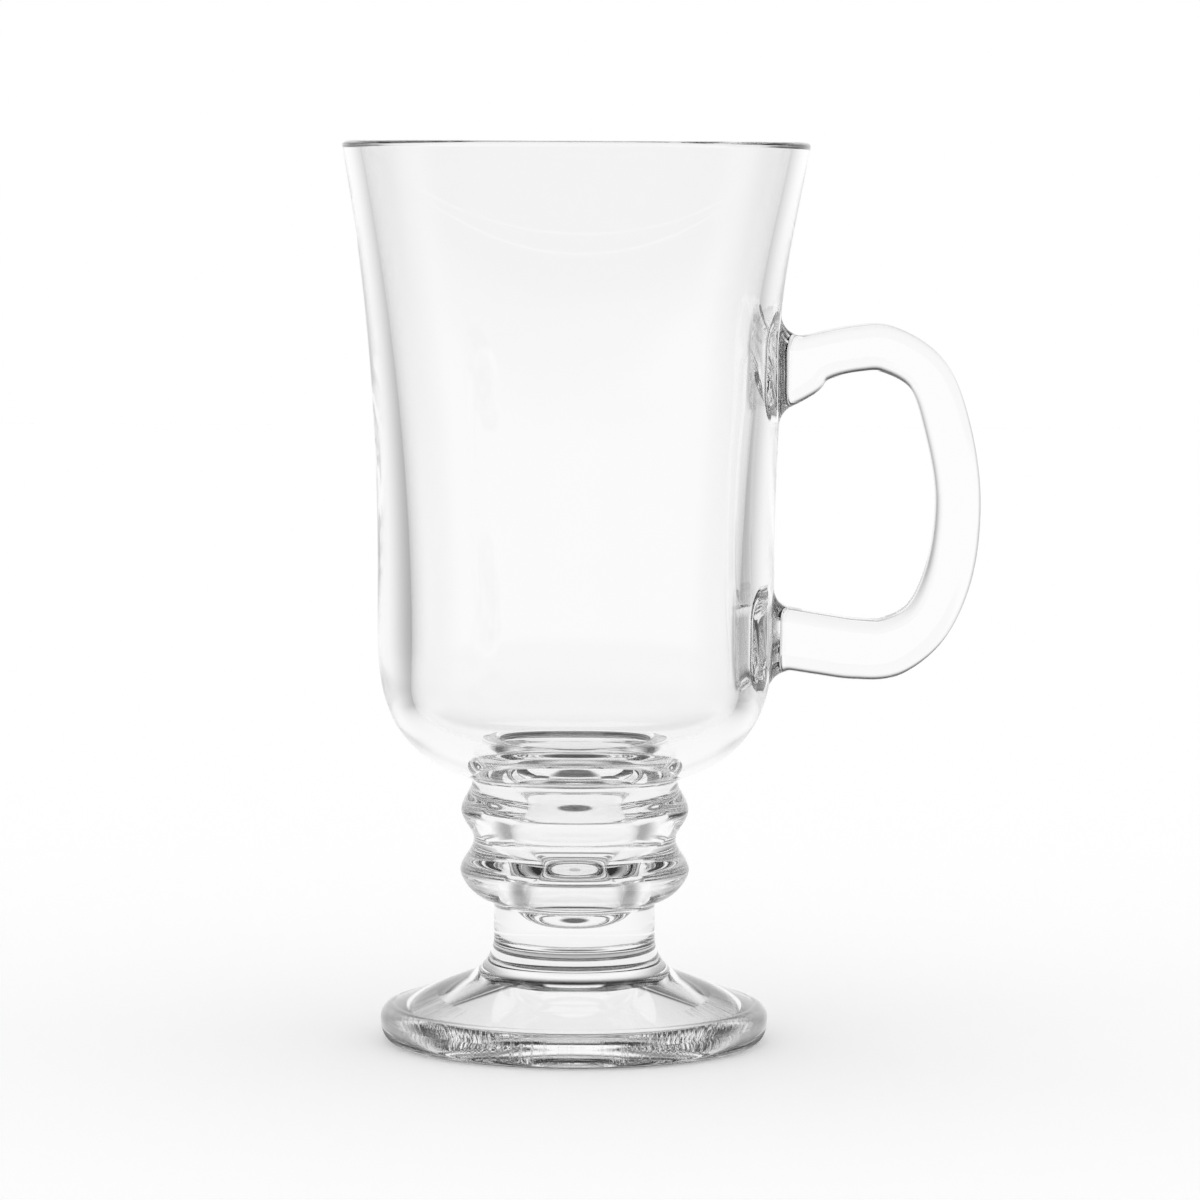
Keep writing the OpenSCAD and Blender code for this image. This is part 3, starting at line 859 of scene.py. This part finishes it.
# Painted light: as glass sees it, the table is an even grey near the glass and, from FAR_FROM to FAR_TO
# millimetres out, takes on the panel's falloff, white behind and grey towards the cards.
painted_table = fade(tree, reach, FAR_FROM, FAR_TO, grey(TABLE_GREY), sideways(tree, compass))
# Painted shadow: the table is drawn dark in a band round the foot's resting ring, eased back from SHADE_FROM
# to SHADE_TO millimetres off it.
from_ring = node(tree, "ShaderNodeMath", {"operation": "SUBTRACT"}, _0=reach, _1=ring_out)
from_ring = node(tree, "ShaderNodeMath", {"operation": "ABSOLUTE"}, _0=from_ring.outputs[0]).outputs[0]
painted_table = fade(tree, from_ring, SHADE_FROM, SHADE_TO, grey(SHADE_GREY), painted_table)
# Painted reflection: where the table is looked at steeply its emitted grey turns dim, in place of a glossy
# table that mirrors the panel.
slant = node(tree, "ShaderNodeLayerWeight", Blend=0.5).outputs["Facing"]
painted_table = fade(tree, slant, STEEP_FROM, STEEP_TO, grey(STEEP_GREY), painted_table)
looked, glass = seen_in_glass(tree)
shade = node(tree, "ShaderNodeMix", {"data_type": "RGBA"}, _0=looked, _6=WHITE, _7=painted_table).outputs[2]
matt = node(tree, "ShaderNodeBsdfDiffuse", Color=WHITE)
# The emission that carries the floor's painted light and shade for rays seen in glass.
painted_glow = node(tree, "ShaderNodeEmission", Color=shade, Strength=1.0)
mix = node(tree, "ShaderNodeMixShader", _0=glass, _1=matt.outputs[0], _2=painted_glow.outputs[0])
tree.links.new(mix.outputs[0], output.inputs["Surface"])
floor_mesh.materials.append(paper_and_painted_light)

# %% The studio round the glass
world = bpy.data.worlds.new("studio")
bpy.context.scene.world = world
world.use_nodes = True
tree = world.node_tree
tree.nodes.clear()
compass, parts = from_behind(tree, node(tree, "ShaderNodeTexCoord").outputs["Generated"])
rise = node(tree, "ShaderNodeMath", {"operation": "ARCSINE"}, _0=parts.outputs["Z"])
rise = node(tree, "ShaderNodeMath", {"operation": "DEGREES"}, _0=rise.outputs[0]).outputs[0]
level = sideways(tree, compass)
sky = fade(tree, compass, ROOM_FROM, ROOM_TO, level, grey(ROOM_GREY))
sky = fade(tree, rise, WALL_TOP_FROM, WALL_TOP_TO, level, sky)
sky = fade(tree, rise, PANEL_TOP_FROM, PANEL_TOP_TO, sky, grey(ROOM_GREY))
box = fade(tree, rise, SOFTBOX_LOW - SOFTBOX_EDGE, SOFTBOX_LOW + SOFTBOX_EDGE, sky, WHITE)
box = fade(tree, rise, SOFTBOX_HIGH - SOFTBOX_EDGE, SOFTBOX_HIGH + SOFTBOX_EDGE, box, sky)
sky = fade(tree, compass, SOFTBOX_HALF - SOFTBOX_EDGE, SOFTBOX_HALF + SOFTBOX_EDGE, box, sky)
looked = seen_in_glass(tree)[0]
colour = node(tree, "ShaderNodeMix", {"data_type": "RGBA"}, _0=looked, _6=WHITE, _7=sky)
background = node(tree, "ShaderNodeBackground", Color=colour.outputs[2], Strength=1.0)
world_out = tree.nodes.new("ShaderNodeOutputWorld")
tree.links.new(background.outputs[0], world_out.inputs["Surface"])

# %% [markdown]
# ## Camera and picture
#
# The photographed rim is a straight line, so the camera stands level with it, and looks
# down a little at the middle of the glass. Light crosses many faces of glass here and
# mirrors between them, so paths are followed much deeper than usual.

# %% The camera
CAMERA_X, CAMERA_Y, CAMERA_Z = 3.96, -890.0, 146.0
AIM_Z = 72.5
FOCAL_PIXELS, PHOTO_PIXELS, SENSOR = 5458.0, 1200.0, 36.0
ROLL = math.radians(0.27)
FARTHEST = 20.0
camera_data = bpy.data.cameras.new("camera")
camera_data.sensor_width = SENSOR
camera_data.lens = FOCAL_PIXELS / PHOTO_PIXELS * SENSOR
camera_data.clip_end = FARTHEST
camera = bpy.data.objects.new("camera", camera_data)
bpy.context.scene.collection.objects.link(camera)
look = Vector((0, -CAMERA_Y, AIM_Z - CAMERA_Z)).normalized()
turn = look.to_track_quat("-Z", "Y").to_matrix().to_4x4() @ Matrix.Rotation(ROLL, 4, "Z")
camera.matrix_world = Matrix.Translation(Vector((CAMERA_X, CAMERA_Y, CAMERA_Z)) * MM) @ turn
bpy.context.scene.camera = camera

# %% Picture settings
DEEPEST_PATH = 48
scene = bpy.context.scene
scene.view_settings.view_transform = "Standard"
scene.cycles.max_bounces = DEEPEST_PATH
scene.cycles.transmission_bounces = DEEPEST_PATH
scene.cycles.glossy_bounces = DEEPEST_PATH
scene.cycles.transparent_max_bounces = DEEPEST_PATH
